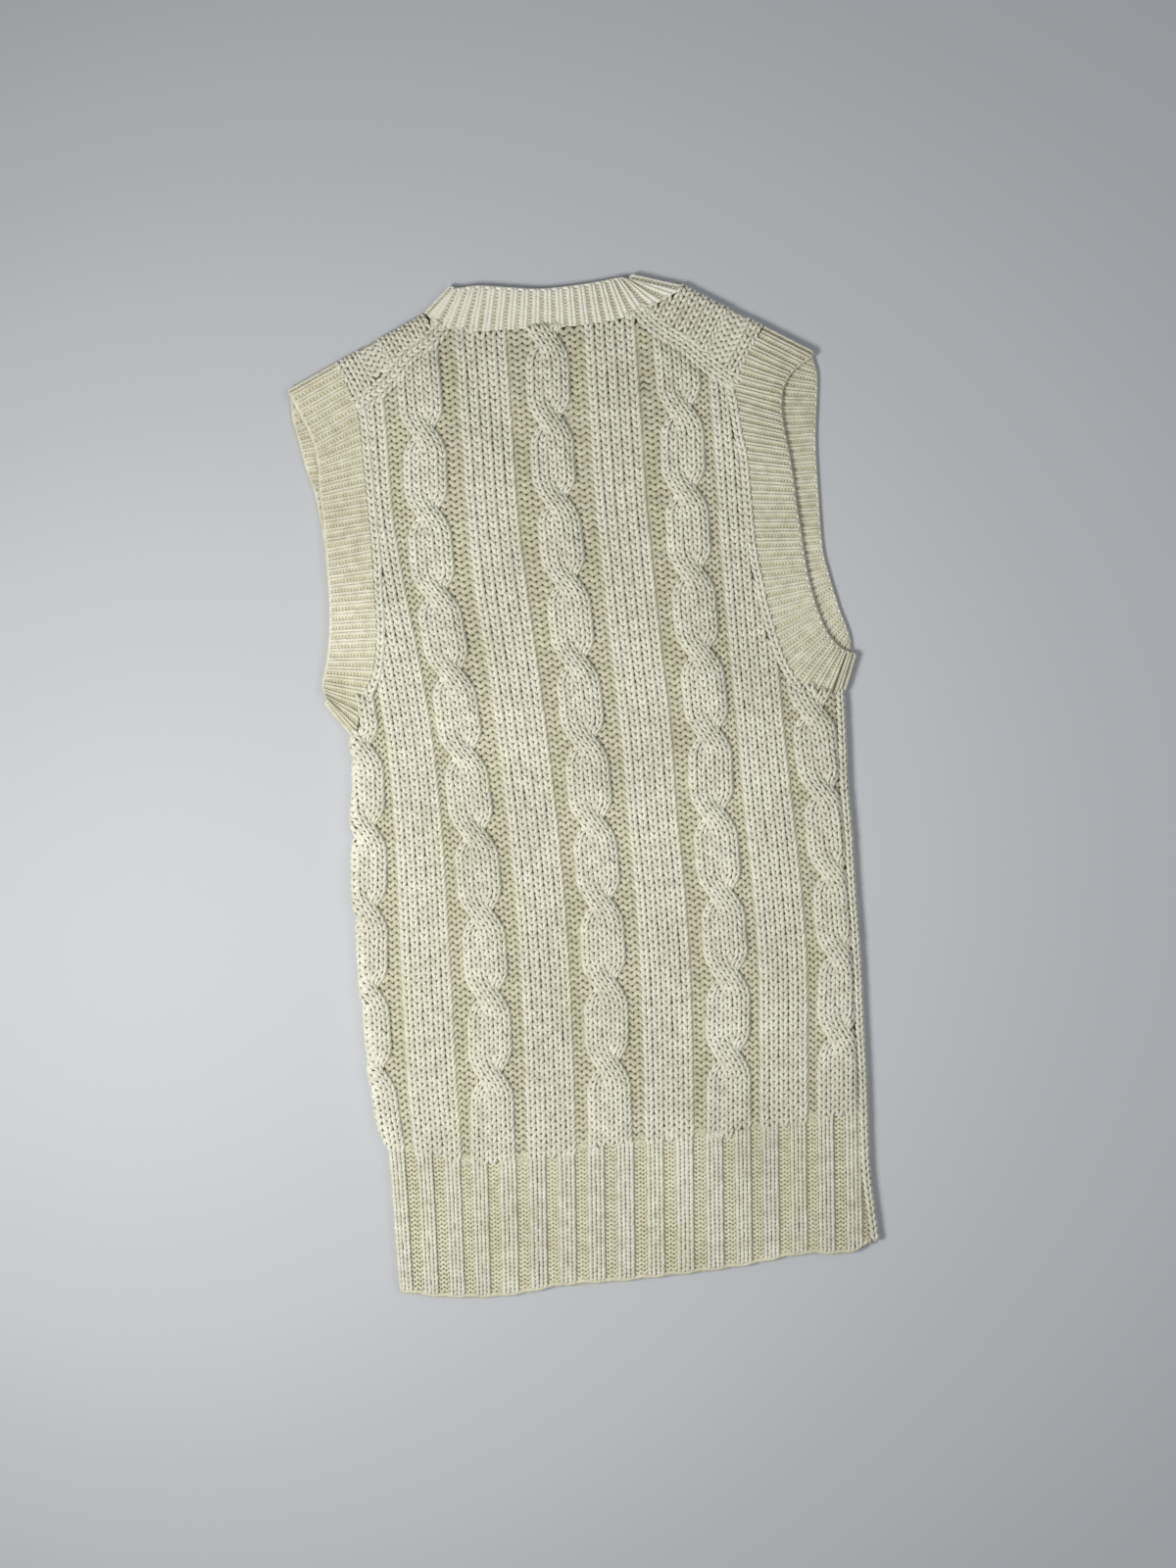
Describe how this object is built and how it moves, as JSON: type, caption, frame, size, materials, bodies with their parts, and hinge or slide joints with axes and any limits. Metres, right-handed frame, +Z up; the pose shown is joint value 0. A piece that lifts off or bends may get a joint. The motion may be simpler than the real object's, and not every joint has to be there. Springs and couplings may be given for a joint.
{
  "type": "knitted sweater vest",
  "caption": "Cream cable-knit sleeveless sweater vest lying flat on its front, with ribbed neckband, armhole bands and hem.",
  "frame": {"origin": "middle of the vest's bounding box, on the surface that it lies on", "axes": "+Y from the hem to the neck along the vest's length, +X to the right seen from above, +Z up out of the surface"},
  "size_m": [0.3311, 0.6186, 0.0102],
  "materials": {
    "cable_knit": "matt cream cotton yarn, plain knitting with cables",
    "rib_knit": "matt cream cotton yarn, fine ribbing"
  },
  "bodies": {
    "root": {"back": "cable_knit", "front": "cable_knit", "neckband": "rib_knit", "left_armhole_band": "rib_knit", "right_armhole_band": "rib_knit"}
  },
  "joints": []
}
